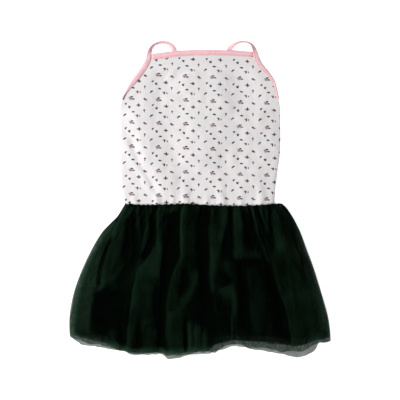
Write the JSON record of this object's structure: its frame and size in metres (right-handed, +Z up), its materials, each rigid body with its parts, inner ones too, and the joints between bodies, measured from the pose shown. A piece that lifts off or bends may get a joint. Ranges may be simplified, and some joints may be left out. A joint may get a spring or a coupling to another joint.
{
  "type": "dog tutu dress",
  "caption": "Sleeveless dog dress laid flat: printed jersey bodice with bound neck and armholes, shoulder loops, and a gathered tulle skirt over an underskirt.",
  "frame": {"origin": "middle of the dress as seen from above, on the surface that it lies on", "axes": "+Y towards the neck along the dress, +X to the viewer's right, +Z up from the surface"},
  "size_m": [0.392, 0.477, 0.0239],
  "materials": {
    "jersey": "matt off-white cotton jersey with a small scattered sprig print",
    "binding": "soft pink rib jersey, folded",
    "tulle": "fine black-green tulle, sheer where it is one layer",
    "underskirt": "opaque matt black-green lining cloth"
  },
  "bodies": {
    "root": {"bodice_front": "jersey", "bodice_back": "jersey", "neck_binding_front": "binding", "neck_binding_back": "binding", "armhole_binding_left_front": "binding", "armhole_binding_left_back": "binding", "armhole_binding_right_front": "binding", "armhole_binding_right_back": "binding", "strap_left": "binding", "strap_right": "binding", "skirt_tulle_front": "tulle", "skirt_tulle_back": "tulle", "underskirt_front": "underskirt", "underskirt_back": "underskirt"}
  },
  "joints": []
}
